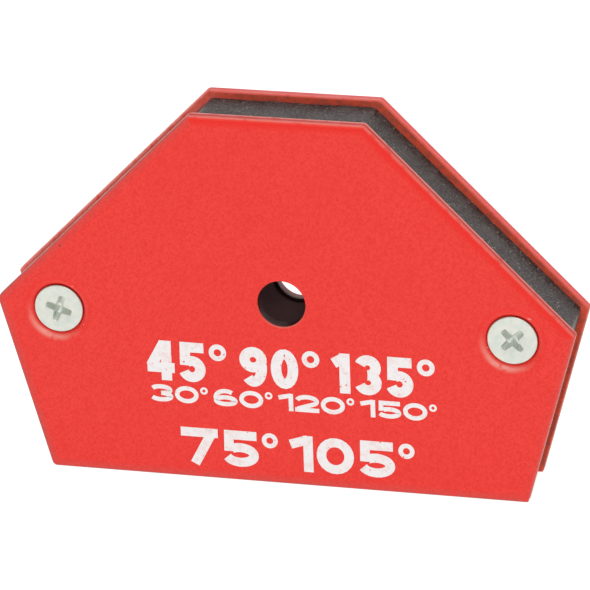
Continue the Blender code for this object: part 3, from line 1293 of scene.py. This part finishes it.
@dataclass
class FerriteBlock(Piece):
    """Pressed and ground ferrite block, poled through its thickness."""

    finish = Ferrite()
    layout: Layout
    side: Side
    edge: float = 0.7 * MM
    chip: float = 0.12 * MM
    chip_size: float = 1.4 * MM
    chip_spread: float = 6.0

    @property
    def node(self) -> str:
        """The CAD node that the block stands for."""
        return f"ferrite_magnet_{self.side.name.lower()}"

    def build(self) -> bpy.types.Object:
        """Builds the block with chamfered, slightly chipped edges.

        Returns:
            The block.
        """
        low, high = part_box(self.node)
        size = Vector((high.x - low.x, 2 * self.layout.inner, high.z - low.z))
        work = bmesh.new()
        bmesh.ops.create_cube(work, size=1.0)
        bmesh.ops.scale(work, vec=size, verts=work.verts)
        bmesh.ops.bevel(
            work, geom=work.edges[:], offset=self.edge, segments=2, profile=0.4, affect="EDGES")
        bmesh.ops.subdivide_edges(work, edges=work.edges[:], cuts=5, use_grid_fill=True)
        bmesh.ops.translate(work, vec=(low + high) / 2, verts=work.verts)
        bmesh.ops.recalc_face_normals(work, faces=work.faces)
        work.normal_update()
        moved = []
        for vert in work.verts:
            off_flat = 1.0 - max(abs(part) for part in vert.normal)
            dent = max(0.0, noise.noise(vert.co / self.chip_size)) * min(1.0, off_flat * self.chip_spread)
            moved.append(vert.co - vert.normal * dent * self.chip)
        for vert, place in zip(work.verts, moved):
            vert.co = place
        name = f"ferrite_block_{self.side.name.lower()}"
        mesh = close_mesh(work, name)
        mesh.shade_smooth()
        mesh.set_sharp_from_angle(angle=math.radians(30.0))
        return add_to_scene(name, mesh)


@dataclass(frozen=True)
class Thread:
    """M4 thread shared by the screws and the sleeves, so that their flanks meet.

    Attributes:
        flat: the flat at the root and at the crest, as a share of half the pitch.
        around: how many points one section has.
        along: how many sections there are in one pitch.
    """

    pitch: float = 0.7 * MM
    root: float = 1.6 * MM
    crest: float = 1.95 * MM
    flat: float = 0.12
    around: int = 32
    along: int = 8

    def radius(self, turn: float, y: float) -> float:
        """The thread's radius at one place.

        Args:
            turn: the angle about the axis.
            y: the place along the axis.

        Returns:
            The radius.
        """
        phase = (y / self.pitch + turn / (2 * math.pi)) % 1.0
        ridge = 1.0 - abs(2.0 * phase - 1.0)
        flank = min(1.0, max(0.0, (ridge - self.flat) / (1.0 - 2.0 * self.flat)))
        return self.root + (self.crest - self.root) * flank

    def ring(self, y: float, extra: float = 0.0, share: float = 1.0) -> list[Vector]:
        """Points of the thread's section.

        Args:
            y: the place along the axis.
            extra: how much larger the section is than the thread.
            share: 1 for the full thread, down to 0 for its bare root.

        Returns:
            The points, about the axis.
        """
        points = []
        for step in range(self.around):
            turn = 2 * math.pi * step / self.around
            radius = self.root + (self.radius(turn, y) - self.root) * share + extra
            points.append(Vector((radius * math.cos(turn), radius * math.sin(turn))))
        return points


@dataclass
class Sleeve(Piece):
    """Turned steel tube between the plates, threaded right through.

    Attributes:
        mouth: the radius of the lead-in at the end face.
        throat: its radius at the bottom.
        runout: the depth at which the thread starts.
        clearance: play between this thread and the screw's.
    """

    finish = TurnedSteel()
    layout: Layout
    side: Side
    outer_radius: float = 4.0 * MM
    chamfer: float = 0.3 * MM
    mouth: float = 2.9 * MM
    throat: float = 2.15 * MM
    lead_in: float = 0.8 * MM
    runout: float = 0.9 * MM
    clearance: float = 0.05 * MM
    thread: Thread = field(default_factory=Thread)

    @property
    def node(self) -> str:
        """The CAD node that the sleeve stands for."""
        return f"threaded_sleeve_{self.side.name.lower()}"

    def build(self) -> bpy.types.Object:
        """Builds the tube with its chamfers and its internal thread.

        Returns:
            The sleeve.
        """
        centre = self.layout.screws[self.side]
        end = self.layout.inner
        profile = [
            (self.mouth, -end),
            (self.outer_radius - self.chamfer, -end),
            (self.outer_radius, -end + self.chamfer),
            (self.outer_radius, end - self.chamfer),
            (self.outer_radius - self.chamfer, end),
            (self.mouth, end),
            (self.throat, end - self.lead_in),
        ]
        sections = [(circle(radius, self.thread.around), y) for radius, y in profile]
        start = end - self.runout
        steps = round(2 * start / self.thread.pitch * self.thread.along)
        for step in range(steps + 1):
            y = start - 2 * start * step / steps
            sections.append((self.thread.ring(y, self.clearance), y))
        sections.append((circle(self.throat, self.thread.around), -end + self.lead_in))
        draft = MeshDraft()
        rings = [
            draft.ring(Vector((centre.x + point.x, y, centre.y + point.y)) for point in points)
            for points, y in sections
        ]
        draft.loft([*rings, rings[0]])
        return draft.finish(f"sleeve_turned_{self.side.name.lower()}", sharp_angle=math.radians(35.0))


@dataclass(frozen=True)
class CrossRecess:
    """Four-winged driver recess that narrows towards a shallow cone at its floor.

    Attributes:
        half_span: half the length from wing tip to wing tip at the head face.
        floor: how much deeper than the wings the cone's tip is.
        taper: the slope of the wings' tips.
        draft_angle: the slope of their sides.
        flare: how far the corners between the wings stand out at the head face.
        inner_radius: the rounding of those corners.
        tip_narrowing: a wing's width at its tip, as a share of its full width.
        tip_rounding: the rounding of a wing's tip, as a share of half its width.
        levels: depth, growth of the outline, and painted light of each ring down the wall.
    """

    half_span: float = 2.3 * MM
    half_width: float = 0.52 * MM
    depth: float = 1.95 * MM
    floor: float = 0.35 * MM
    taper: float = math.radians(26.0)
    draft_angle: float = math.radians(5.0)
    flare: float = 0.12 * MM
    inner_radius: float = 0.18 * MM
    tip_narrowing: float = 0.92
    tip_rounding: float = 0.6
    corner_steps: int = 4
    levels: tuple[tuple[float, float, float], ...] = (
        (0.0, 0.07 * MM, 0.0),
        (0.03 * MM, 0.02 * MM, 0.3),
        (0.09 * MM, 0.0, 0.6),
        (0.6 * MM, 0.0, 0.9),
        (1.2 * MM, 0.0, 1.0),
        (1.7 * MM, 0.0, 1.0),
    )

    def section(self, depth: float, grow: float = 0.0) -> list[Vector]:
        """The recess's outline at one depth.

        Args:
            depth: the depth below the head face.
            grow: how much larger the outline is than the plain taper makes it.

        Returns:
            The points, about the screw's axis.
        """
        span = self.half_span - depth * math.tan(self.taper) + grow
        width = self.half_width - depth * math.tan(self.draft_angle) + grow
        inner = width + self.flare * (1.0 - depth / self.depth)
        tip = width * self.tip_narrowing
        tip_radius = width * self.tip_rounding
        corners = []
        radii = []
        for quarter in range(4):
            spin = Matrix.Rotation(quarter * math.pi / 2, 2)
            for x, y, radius in (
                (span, -tip, tip_radius), (span, tip, tip_radius), (inner, inner, self.inner_radius),
            ):
                corners.append(spin @ Vector((x, y)))
                radii.append(radius)
        return sum(rounded_polygon(corners, radii, self.corner_steps), [])


@dataclass
class CountersunkScrew(Piece):
    """Zinc-plated machine screw with a flat countersunk head.

    Attributes:
        land: the straight band between the rounded rim of the head and the cone.
        neck: the depth at which the thread starts.
        neck_margin: how much wider the cone's end is than the thread.
        fade_in: the length over which the thread rises to its full height.
        fade_out: the length over which it runs out at the tip.
    """

    finish = ZincPlate()
    layout: Layout
    facing: Facing
    side: Side
    recess_turn: float
    head_radius: float = 4.15 * MM
    edge_radius: float = 0.22 * MM
    edge_steps: int = 5
    land: float = 0.04 * MM
    neck: float = 2.35 * MM
    neck_margin: float = 0.1 * MM
    fade_in: float = 0.35 * MM
    fade_out: float = 0.45 * MM
    length: float = 6.0 * MM
    recess: CrossRecess = field(default_factory=CrossRecess)
    thread: Thread = field(default_factory=lambda: Thread(around=96))

    @property
    def node(self) -> str:
        """The CAD node that the screw stands for."""
        return f"{self.facing.name.lower()}_screw_{self.side.name.lower()}"

    def height(self, depth: float) -> float:
        """The place along Y of a depth below the head face."""
        return self.facing.value * (self.layout.half - self.layout.head_face - depth)

    def place(self, points: Iterable[Vector], depth: float) -> list[Vector]:
        """Moves a section to the screw's axis.

        Args:
            points: the section's points, about the axis.
            depth: how far below the head face it goes.

        Returns:
            The points in space.
        """
        centre = self.layout.screws[self.side]
        y = self.height(depth)
        return [Vector((centre.x + point.x, y, centre.y + point.y)) for point in points]

    def head_rings(self, draft: MeshDraft) -> list[Verts]:
        """Adds the rings from the head face's rim down the cone to the shank.

        Args:
            draft: the screw's mesh.

        Returns:
            The rings, from the face down.
        """
        profile = []
        for step in range(self.edge_steps + 1):
            turn = math.pi / 2 * step / self.edge_steps
            radius = self.head_radius - self.edge_radius * (1.0 - math.sin(turn))
            profile.append((radius, self.edge_radius * (1.0 - math.cos(turn))))
        cone_start = self.edge_radius + self.land
        for radius in (self.head_radius, self.thread.crest + self.neck_margin):
            profile.append((radius, cone_start + self.head_radius - radius))
        around = self.thread.around
        return [draft.ring(self.place(circle(radius, around), depth)) for radius, depth in profile]

    def shank_rings(self, draft: MeshDraft) -> list[Verts]:
        """Adds the threaded rings from under the head to the screw's tip.

        Args:
            draft: the screw's mesh.

        Returns:
            The rings, from the head down.
        """
        run = self.length - self.neck
        steps = round(run / self.thread.pitch * self.thread.along)
        rings = []
        for step in range(steps + 1):
            depth = self.neck + run * step / steps
            share = min(1.0, (depth - self.neck) / self.fade_in, (self.length - depth) / self.fade_out)
            section = self.thread.ring(self.height(depth), share=share)
            rings.append(draft.ring(self.place(section, depth)))
        return rings

    def build(self) -> bpy.types.Object:
        """Builds the head, its recess and the threaded shank.

        Returns:
            The screw.
        """
        draft = MeshDraft(("recess",))
        spin = Matrix.Rotation(self.recess_turn, 2)
        axis = [Vector((0.0, 0.0))]
        cuts = []
        # The last number of each level is the painted light on the recess's wall.
        for depth, grow, painted_light in self.recess.levels:
            section = [spin @ point for point in self.recess.section(depth, grow)]
            cuts.append(draft.ring(self.place(section, depth), recess=painted_light))
        draft.loft(cuts)
        draft.fan(cuts[-1], self.place(axis, self.recess.depth + self.recess.floor)[0])
        head = self.head_rings(draft)
        draft.fill(head[0], cuts[0])
        shank = self.shank_rings(draft)
        draft.loft(head + shank)
        draft.fan(shank[-1], self.place(axis, self.length)[0])
        return draft.finish(f"{self.node}_plated", sharp_angle=math.radians(32.0))


Place = tuple[float, float]


@dataclass(frozen=True)
class PenStroke:
    """Centre line of one stroke of a numeral; a closed one joins its ends."""

    points: list[Vector]
    closed: bool = False

    @classmethod
    def through(cls, *places: Place) -> "PenStroke":
        """An open stroke, straight from each place to the next."""
        return cls([Vector(place) for place in places])


@dataclass(frozen=True)
class BlockNumerals:
    """Plain heavy numerals drawn with one broad pen; the cap height is 1.

    Attributes:
        width: a full numeral's width.
        pen: the stroke's thickness.
        gap: the space between numerals.
        narrow: the width of a 1, as a share of a full one.
        blank: the width of a space.
        arc_steps: how many chords an arc has.
    """

    width: float
    pen: float = 0.25
    gap: float = 0.09
    narrow: float = 0.62
    blank: float = 0.22
    degree_pen: float = 0.12
    degree_radius: float = 0.15
    arc_steps: int = 20

    def arc(self, middle: Place, radii: Place, start: float, end: float) -> list[Vector]:
        """Points of an elliptical arc.

        Args:
            middle: the ellipse's middle.
            radii: its radii, across and up.
            start: the first point's angle, in degrees.
            end: the last point's angle, in degrees.

        Returns:
            The points.
        """
        points = []
        for step in range(self.arc_steps + 1):
            turn = math.radians(start + (end - start) * step / self.arc_steps)
            points.append(Vector(middle) + Vector((radii[0] * math.cos(turn), radii[1] * math.sin(turn))))
        return points

    def loop(self, middle: Place, radii: Place) -> PenStroke:
        """A closed ellipse."""
        return PenStroke(self.arc(middle, radii, 0.0, 342.0), closed=True)

    def advance(self, sign: str) -> float:
        """Tells how far the pen moves on after a sign.

        Args:
            sign: the sign.

        Returns:
            The distance.
        """
        if sign == " ":
            return self.blank
        if sign == "°":
            return 2 * self.degree_radius + self.degree_pen + self.gap
        return (self.narrow if sign == "1" else 1.0) * self.width + self.gap

    def six(self) -> list[PenStroke]:
        """Draws the numeral 6, which also serves as 9 upside down.

        Returns:
            Its strokes.
        """
        half = self.pen / 2
        centre = self.width / 2
        reach = centre - half
        back = self.arc((centre, 0.5), (reach, 0.5 - half), 48.0, 190.0)
        return [self.loop((centre, 0.32), (reach, 0.32 - half)), PenStroke(back)]

    def strokes(self, sign: str) -> list[PenStroke]:
        """Draws one sign.

        Args:
            sign: a numeral that the scale needs, the degree sign or a space.

        Returns:
            Its strokes, measured from its lower left corner.
        """
        half = self.pen / 2
        width = self.width
        centre = width / 2
        reach = centre - half
        top = 1.0 - half
        bowl = (0.5 - half) / 2
        line = PenStroke.through
        if sign == "°":
            edge = self.degree_radius + self.degree_pen / 2
            return [self.loop((edge, 1.0 - edge), (self.degree_radius, self.degree_radius))]
        if sign == "0":
            return [self.loop((centre, 0.5), (reach, 0.5 - half))]
        if sign == "1":
            stem = self.narrow * width - half
            return [line((stem, 0.0), (stem, 1.0)), line((0.02, 0.74), (stem, 0.90))]
        if sign == "2":
            curve = self.arc((centre, top - bowl * 1.25), (reach, bowl * 1.25), 170.0, -38.0)
            return [PenStroke(curve + [Vector((half * 1.2, half * 1.4))]), line((0.0, half), (width, half))]
        if sign == "3":
            upper = self.arc((centre, 0.5 + bowl), (reach * 0.94, bowl), 158.0, -90.0)
            lower = self.arc((centre, 0.5 - bowl), (reach, bowl), 90.0, -158.0)
            return [PenStroke(upper), PenStroke(lower)]
        if sign == "4":
            stem = width * 0.70
            return [
                line((stem - half * 0.3, 1.0 - half * 0.4), (half * 0.7, 0.34)),
                line((0.0, 0.32), (width, 0.32)),
                line((stem, 0.0), (stem, 1.0)),
            ]
        if sign == "5":
            left = width * 0.08 + half
            belly = self.arc((centre, 0.33), (reach, 0.33 - half), 125.0, -160.0)
            return [
                line((left - half, top), (width * 0.95, top)),
                line((left, 1.0), (left - 0.01, 0.42)),
                PenStroke(belly),
            ]
        if sign == "6":
            return self.six()
        if sign == "7":
            corner = (width - half * 1.1, 1.0 - half * 0.6)
            return [line((0.0, top), (width, top)), line(corner, (width * 0.36, 0.0))]
        if sign == "9":
            far = Vector((width, 1.0))
            return [PenStroke([far - point for point in own.points], own.closed) for own in self.six()]
        return []


@dataclass(frozen=True)
class PrintedLine:
    """One line of the angle scale: its signs, and the box on the face that they fill."""

    text: str
    low: Vector
    high: Vector

    def numerals(self) -> BlockNumerals:
        """Finds the numerals whose width makes the line fill its box.

        Returns:
            The numerals.
        """
        cap = self.high.y - self.low.y
        wanted = (self.high.x - self.low.x) / cap
        styles = (BlockNumerals(0.5), BlockNumerals(1.0))
        spans = [sum(style.advance(sign) for sign in self.text) - style.gap for style in styles]
        return BlockNumerals(0.5 + 0.5 * (wanted - spans[0]) / (spans[1] - spans[0]))


@dataclass
class AnglePrint(Piece):
    """Generic white numerals of the angles that the edges set, in three lines.

    Attributes:
        ink_thickness: the height of the print above the face.
        stroke_step: how much higher each stroke lies than the one it crosses.
        stroke_levels: how many heights the strokes take in turn.
    """

    finish = Ink()
    layout: Layout
    ink_thickness: float = 0.03 * MM
    stroke_step: float = 0.0015 * MM
    stroke_levels: int = 4
    lines: tuple[PrintedLine, ...] = (
        PrintedLine("45° 90° 135°", Vector((-23.2, 17.2)) * MM, Vector((25.4, 24.3)) * MM),
        PrintedLine("30° 60° 120° 150°", Vector((-23.1, 13.3)) * MM, Vector((25.6, 16.4)) * MM),
        PrintedLine("75° 105°", Vector((-18.0, 2.5)) * MM, Vector((21.7, 9.0)) * MM),
    )

    def lay(
        self, work: bmesh.types.BMesh, stroke: PenStroke, pen: float,
        origin: Vector, cap: float, top: float,
    ) -> None:
        """Lays one pen stroke on the front face as a thin raised strip.

        Args:
            work: the mesh that takes it.
            stroke: its centre line, in cap heights.
            pen: its thickness, in cap heights.
            origin: where the numeral's lower left corner lies on the face.
            cap: the cap height.
            top: the ink's height above the face.
        """
        points = stroke.points
        count = len(points)
        face = -self.layout.half
        rails = []
        for index, point in enumerate(points):
            before = points[index - 1] if stroke.closed or index else point
            after = points[(index + 1) % count] if stroke.closed or index < count - 1 else point
            along = (after - before).normalized()
            across = Vector((-along.y, along.x)) * pen / 2
            corners = []
            for place in (point + across, point - across):
                x, z = origin + place * cap
                for y in (face - top, face + self.stroke_step):
                    corners.append(work.verts.new((x, y, z)))
            rails.append(corners)
        pairs = zip(rails, rails[1:] + rails[:1]) if stroke.closed else zip(rails, rails[1:])
        for first, second in pairs:
            for near, far in ((0, 2), (2, 3), (3, 1), (1, 0)):
                work.faces.new((first[near], first[far], second[far], second[near]))
        if not stroke.closed:
            for end in (rails[0], rails[-1]):
                work.faces.new((end[0], end[2], end[3], end[1]))

    def build(self) -> bpy.types.Object:
        """Lays every stroke of every line.

        Returns:
            The print.
        """
        work = bmesh.new()
        laid = 0
        for line in self.lines:
            style = line.numerals()
            cap = line.high.y - line.low.y
            origin = line.low.copy()
            for sign in line.text:
                pen = style.degree_pen if sign == "°" else style.pen
                for stroke in style.strokes(sign):
                    top = self.ink_thickness + self.stroke_step * (laid % self.stroke_levels)
                    self.lay(work, stroke, pen, origin, cap, top)
                    laid += 1
                origin.x += style.advance(sign) * cap
        return add_to_scene("angle_print", close_mesh(work, "angle_print"))


# --------------------------------------------------------------------- studio


@dataclass(frozen=True)
class Softbox:
    """Square area light turned to the middle of the holder.

    Attributes:
        name: the light's name.
        place: its centre.
        size: its side.
        glow: the radiance of its face.
    """

    name: str
    place: Vector
    size: float
    glow: float
    aim: Vector = Vector((0.0, 0.0, 30.0)) * MM

    def make(self) -> None:
        """Hangs the light."""
        data = bpy.data.lights.new(self.name, "AREA")
        data.size = self.size
        data.energy = self.glow * math.pi * self.size ** 2
        lamp = add_to_scene(self.name, data)
        lamp.location = self.place
        lamp.rotation_mode = "QUATERNION"
        lamp.rotation_quaternion = (self.aim - self.place).to_track_quat("-Z", "Y")


@dataclass(frozen=True)
class Studio:
    """White sweep, even room light, a key from front right and a softbox behind.

    Attributes:
        sweep: radius and height of each ring of the floor, which rises at its far edge.
        floor_white: the floor's own colour.
        floor_glow: light that the floor gives off.
        room: strength of the even room light.
        drop: the gap between the holder and the floor.
        lamps: the softboxes.
    """

    sweep: tuple[tuple[float, float], ...] = (
        (1.0, 0.0), (3.0, 0.0), (3.9, 0.05), (4.3, 0.2), (4.4, 0.45),
    )
    floor_white: Colour = (0.35, 0.35, 0.35)
    floor_glow: float = 0.88
    room: float = 0.45
    drop: float = 0.02 * MM
    lamps: tuple[Softbox, ...] = (
        Softbox("key_softbox", Vector((0.15, -0.90, 0.66)), 0.50, 4.45),
        Softbox("overhead_softbox", Vector((0.10, 0.15, 1.20)), 1.00, 1.3),
        Softbox("rear_softbox", Vector((0.15, 1.50, 0.80)), 1.50, 0.75),
    )

    def floor(self) -> None:
        """Makes the pale floor just under the holder, swept up at its far edge."""
        draft = MeshDraft()
        rings = [
            draft.ring(Vector((point.x, point.y, height - self.drop)) for point in circle(radius, 64))
            for radius, height in self.sweep
        ]
        draft.loft(rings)
        draft.fan(rings[0], Vector((0.0, 0.0, -self.drop)))
        piece = draft.finish("floor")
        shade = Shade("pale_floor")
        shade.set(Base_Color=(*self.floor_white, 1.0), Roughness=1.0, Specular_IOR_Level=0.0,
                  Emission_Color=(1.0, 1.0, 1.0, 1.0), Emission_Strength=self.floor_glow)
        piece.data.materials.append(shade.material)

    def room_light(self) -> None:
        """Fills the world with even white light."""
        world = bpy.data.worlds.new("studio")
        world.use_nodes = True
        background = world.node_tree.nodes["Background"]
        background.inputs["Color"].default_value = (1.0, 1.0, 1.0, 1.0)
        background.inputs["Strength"].default_value = self.room
        bpy.context.scene.world = world

    def make(self) -> None:
        """Sets up the floor and all the light."""
        self.floor()
        self.room_light()
        for lamp in self.lamps:
            lamp.make()
        bpy.context.scene.view_settings.view_transform = "Standard"
        log.info("studio ready")


@dataclass(frozen=True)
class Viewpoint:
    """Long-lens camera, a little above the holder and to its right."""

    azimuth: float = math.radians(15.14)
    elevation: float = math.radians(22.71)
    distance: float = 0.7508
    roll: float = math.radians(-2.0)
    lens: float = 279.43
    target: Vector = Vector((0.554, -0.24, 31.127)) * MM

    def make(self) -> None:
        """Makes the scene's camera."""
        data = bpy.data.cameras.new("camera")
        data.lens = self.lens
        data.sensor_width = 36.0
        data.clip_start = 0.01
        data.clip_end = 100.0
        back = Vector((
            math.sin(self.azimuth) * math.cos(self.elevation),
            -math.cos(self.azimuth) * math.cos(self.elevation),
            math.sin(self.elevation),
        ))
        camera = add_to_scene("camera", data)
        camera.location = self.target + back * self.distance
        camera.rotation_mode = "QUATERNION"
        tilt = Quaternion((0.0, 0.0, 1.0), self.roll)
        camera.rotation_quaternion = (-back).to_track_quat("-Z", "Y") @ tilt
        bpy.context.scene.camera = camera
        log.info("camera ready")


def main() -> None:
    """Builds the holder piece by piece, then the studio and the camera."""
    logging.basicConfig(level=logging.INFO, format="%(name)s: %(message)s")
    Viewpoint().make()
    layout = Layout.from_frame()
    PolePlate(layout, Facing.FRONT, FRONT_WEAR_AND_LIGHT, hole_bare=0.2, hole_shade_depth=0.35 * MM).make()
    PolePlate(layout, Facing.REAR, REAR_WEAR_AND_LIGHT, hole_bare=0.85, hole_shade_depth=2.0 * MM).make()
    Filler(layout).make()
    recess_turns = {Side.LEFT: math.radians(-18.0), Side.RIGHT: math.radians(43.0)}
    for side in Side:
        FerriteBlock(layout, side).make()
        Sleeve(layout, side).make()
        for facing in Facing:
            CountersunkScrew(layout, facing, side, recess_turns[side]).make()
    AnglePrint(layout).make()
    Studio().make()


if __name__ == "__main__":
    main()
